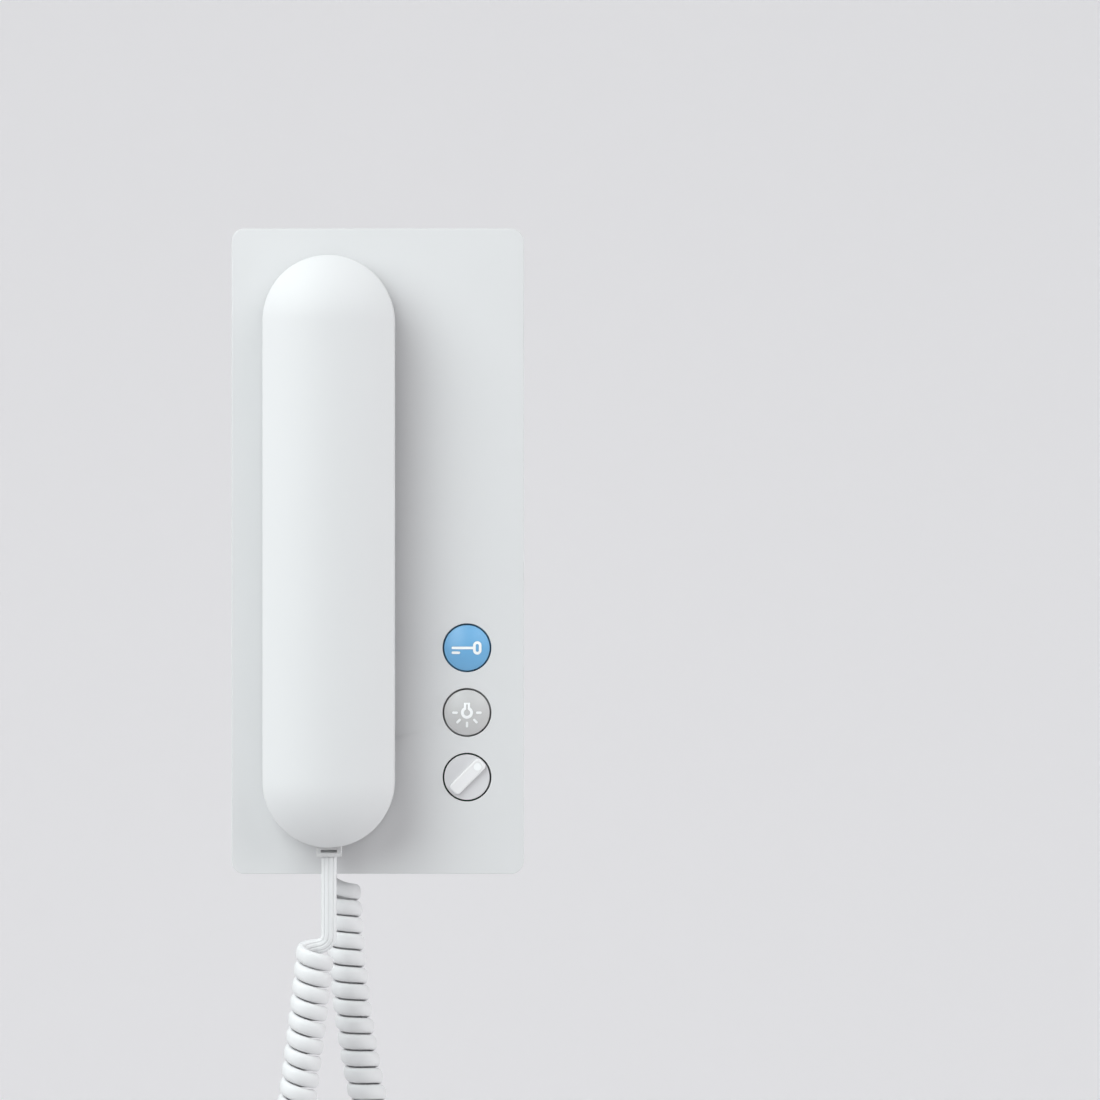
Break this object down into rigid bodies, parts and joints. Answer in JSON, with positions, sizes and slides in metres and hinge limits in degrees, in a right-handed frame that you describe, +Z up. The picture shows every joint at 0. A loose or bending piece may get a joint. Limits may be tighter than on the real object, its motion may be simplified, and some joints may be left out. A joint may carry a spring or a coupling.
{
  "type": "audio intercom handset",
  "caption": "Flat white wall station with a crowned handset on a curly cord, a blue door key, a grey light key and a rotary ring control.",
  "frame": {"origin": "middle of the wall base's back face, which lies on the wall", "axes": "+Z up, +Y into the wall, +X to the right seen from the front; the front faces -Y"},
  "size_m": [0.091, 0.046, 0.3761],
  "materials": {
    "white_plastic": "satin",
    "cord_plastic": "satin",
    "blue_plastic": "satin",
    "grey_plastic": "satin",
    "print_white": "satin",
    "dark_plastic": "matte",
    "board": "solder mask",
    "steel": "zinc plated",
    "brass": "bright",
    "foam": "matte",
    "wire": "satin"
  },
  "bodies": {
    "station": {"wall_base": "white_plastic", "front_cover": "white_plastic", "cover_screw": "steel", "main_board": "board", "board_screws": "steel", "audio_chip": "dark_plastic", "capacitors": "dark_plastic", "terminal_block": "dark_plastic", "terminal_screws": "steel", "base_jack": "dark_plastic", "base_jack_contacts": "brass", "base_plug": "white_plastic", "curly_cord": "cord_plastic", "door_key_switch": "dark_plastic", "light_key_switch": "dark_plastic", "ring_control": "dark_plastic", "ringer_speaker": "dark_plastic", "ringer_gasket": "foam", "ringer_wires": "wire", "hook_pin": "steel", "hook_spring": "steel", "hook_switch": "dark_plastic"},
    "door_key": {"door_key_cap": "blue_plastic", "door_key_symbol": "print_white", "door_key_plunger": "dark_plastic"},
    "light_key": {"light_key_cap": "grey_plastic", "light_key_symbol": "print_white", "light_key_plunger": "dark_plastic"},
    "ring_knob": {"ring_knob": "grey_plastic", "knob_marker": "print_white", "knob_shaft": "steel"},
    "hook_lever": {"hook_lever": "grey_plastic"},
    "hook_plunger": {"hook_plunger": "dark_plastic"},
    "handset": {"handset_outer": "white_plastic", "handset_inner": "white_plastic", "handset_screws": "steel", "handset_weight": "steel", "earpiece": "dark_plastic", "earpiece_ring": "foam", "earpiece_wires": "wire", "microphone": "steel", "microphone_boot": "foam", "microphone_wires": "wire", "handset_jack": "dark_plastic", "handset_jack_contacts": "brass", "handset_plug": "white_plastic"}
  },
  "joints": [
    {"name": "handset_lift", "type": "slide", "parent": "station", "child": "handset", "axis": [0, -0.866, 0.5], "range_m": [0, 0.06]},
    {"name": "door_key_press", "type": "slide", "parent": "station", "child": "door_key", "axis": [0, 1, 0], "range_m": [0, 0.0012], "stiffness_N_per_m": 1200},
    {"name": "light_key_press", "type": "slide", "parent": "station", "child": "light_key", "axis": [0, 1, 0], "range_m": [0, 0.0012], "stiffness_N_per_m": 1200},
    {"name": "ring_knob_turn", "type": "hinge", "parent": "station", "child": "ring_knob", "pos_m": [0.0278, 0, -0.0704], "axis": [0, -1, 0], "range_deg": [-90, 180]},
    {"name": "hook_swing", "type": "hinge", "parent": "station", "child": "hook_lever", "pos_m": [-0.0148, -0.0135, 0.022], "axis": [1, 0, 0], "range_deg": [0, 8.1]},
    {"name": "hook_plunger_press", "type": "slide", "parent": "station", "child": "hook_plunger", "axis": [0, 1, 0], "range_m": [0, 0.00132]}
  ],
  "couplings": [
    {"joint": "hook_swing", "follows": "handset_lift", "rad_per_m": 2.327},
    {"joint": "hook_plunger_press", "follows": "handset_lift", "ratio": 0.0216}
  ]
}
